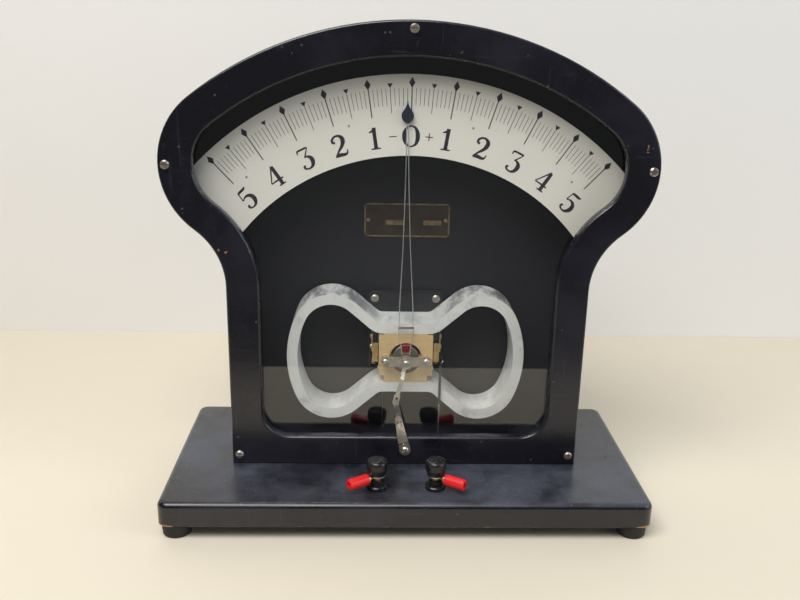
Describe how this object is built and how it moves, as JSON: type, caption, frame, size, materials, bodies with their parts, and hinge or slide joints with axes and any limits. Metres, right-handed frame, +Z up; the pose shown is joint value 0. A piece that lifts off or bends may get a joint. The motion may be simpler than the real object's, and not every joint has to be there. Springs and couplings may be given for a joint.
{
  "type": "galvanometer",
  "caption": "Lecture-table galvanometer: flared black case with a curved zero-centre scale, figure-eight magnet, moving coil with long pointer, zero lever and binding posts.",
  "frame": {"origin": "on the surface the feet stand on, under the middle of the base", "axes": "+Z up, front with the window towards -Y, +X to the right seen from the front"},
  "size_m": [0.418, 0.198, 0.42],
  "materials": {
    "black_lacquer": "semi-gloss black lacquer, worn at the edges",
    "panel_black": "matt black paint",
    "rubber": "matt",
    "nickel": "satin nickel plate",
    "steel": "dull plated steel",
    "brass": "aged brass",
    "glass": "clear flat sheet",
    "scale_paint": "cream paint",
    "magnet_paint": "pale grey paint, worn darker",
    "soft_iron": "plain ground iron",
    "aluminium": "thin sheet",
    "red_winding": "dark red enamelled wire",
    "black_metal": "black paint",
    "black_plastic": "moulded black",
    "red_plastic": "moulded bright red",
    "bronze": "phosphor bronze ribbon",
    "wire": "tinned wire, part sleeved"
  },
  "bodies": {
    "frame": {"base_board": "black_lacquer", "rubber_feet": "rubber", "base_screws": "steel", "case_body": "black_lacquer", "back_panel": "panel_black", "back_screws": "steel", "bezel": "black_lacquer", "bezel_screws": "nickel", "window_glass": "glass", "glass_clips": "steel", "small_screws": "steel", "scale_plate": "scale_paint", "scale_brackets": "black_metal", "nameplate": "brass", "nameplate_screws": "brass", "magnet_left": "magnet_paint", "magnet_right": "magnet_paint", "magnet_screws": "nickel", "pole_pieces": "brass", "core_supports": "brass", "core": "soft_iron", "side_plates": "brass", "movement_bracket": "black_metal", "movement_screws": "nickel", "front_bridge": "nickel", "back_bridge": "nickel", "bridge_screws": "nickel", "jewel_screws": "nickel", "lock_nuts": "nickel", "back_hairspring": "bronze", "lever_bushing": "nickel", "terminal_blocks": "black_plastic", "terminal_strips": "brass", "leads": "wire", "post_collars": "black_plastic", "post_studs": "brass", "post_nuts": "brass"},
    "movement": {"coil_former": "aluminium", "coil_winding": "red_winding", "pivots": "steel", "pointer_wires": "aluminium", "pointer_carrier": "aluminium", "pointer_spreader": "nickel", "pointer_tip": "black_metal", "balance_arm": "brass"},
    "zero_lever": {"zero_lever": "nickel", "lever_fittings": "nickel", "lever_shaft": "steel", "inner_lever": "steel"},
    "zero_arm": {"zero_arm": "nickel", "front_hairspring": "bronze"},
    "washer_left": {"washer_left": "nickel"},
    "cap_left": {"cap_left": "black_plastic"},
    "plug_left": {"socket_left": "red_plastic", "pin_left": "brass"},
    "washer_right": {"washer_right": "nickel"},
    "cap_right": {"cap_right": "black_plastic"},
    "plug_right": {"socket_right": "red_plastic", "pin_right": "brass"}
  },
  "joints": [
    {"name": "pointer_swing", "type": "hinge", "parent": "frame", "child": "movement", "pos_m": [0, 0.0165, 0.126], "axis": [0, 1, 0], "range_deg": [-44, 46], "stiffness_Nm_per_rad": 0.002},
    {"name": "lever_turn", "type": "hinge", "parent": "frame", "child": "zero_lever", "pos_m": [0, -0.022, 0.0493], "axis": [0, 1, 0], "range_deg": [-2, 26]},
    {"name": "arm_turn", "type": "hinge", "parent": "frame", "child": "zero_arm", "pos_m": [0, -0.009, 0.126], "axis": [0, 1, 0], "range_deg": [-30, 2.5]},
    {"name": "left_washer_lift", "type": "slide", "parent": "frame", "child": "washer_left", "axis": [0, 0, 1], "range_m": [0, 0.00272]},
    {"name": "left_cap_turn", "type": "hinge", "parent": "washer_left", "child": "cap_left", "pos_m": [-0.0252, -0.07, 0.055], "axis": [0, 0, 1], "range_deg": [0, 1080]},
    {"name": "left_plug_slide", "type": "slide", "parent": "frame", "child": "plug_left", "axis": [-0.8471, -0.5314, 0], "range_m": [0, 0.012]},
    {"name": "right_washer_lift", "type": "slide", "parent": "frame", "child": "washer_right", "axis": [0, 0, 1], "range_m": [0, 0.00272]},
    {"name": "right_cap_turn", "type": "hinge", "parent": "washer_right", "child": "cap_right", "pos_m": [0.0252, -0.07, 0.055], "axis": [0, 0, 1], "range_deg": [0, 1080]},
    {"name": "right_plug_slide", "type": "slide", "parent": "frame", "child": "plug_right", "axis": [0.8471, -0.5314, 0], "range_m": [0, 0.012]}
  ],
  "couplings": [
    {"joint": "arm_turn", "follows": "lever_turn", "ratio": -1.131},
    {"joint": "left_cap_turn", "follows": "left_washer_lift", "rad_per_m": 6927.4},
    {"joint": "right_cap_turn", "follows": "right_washer_lift", "rad_per_m": 6927.4}
  ]
}
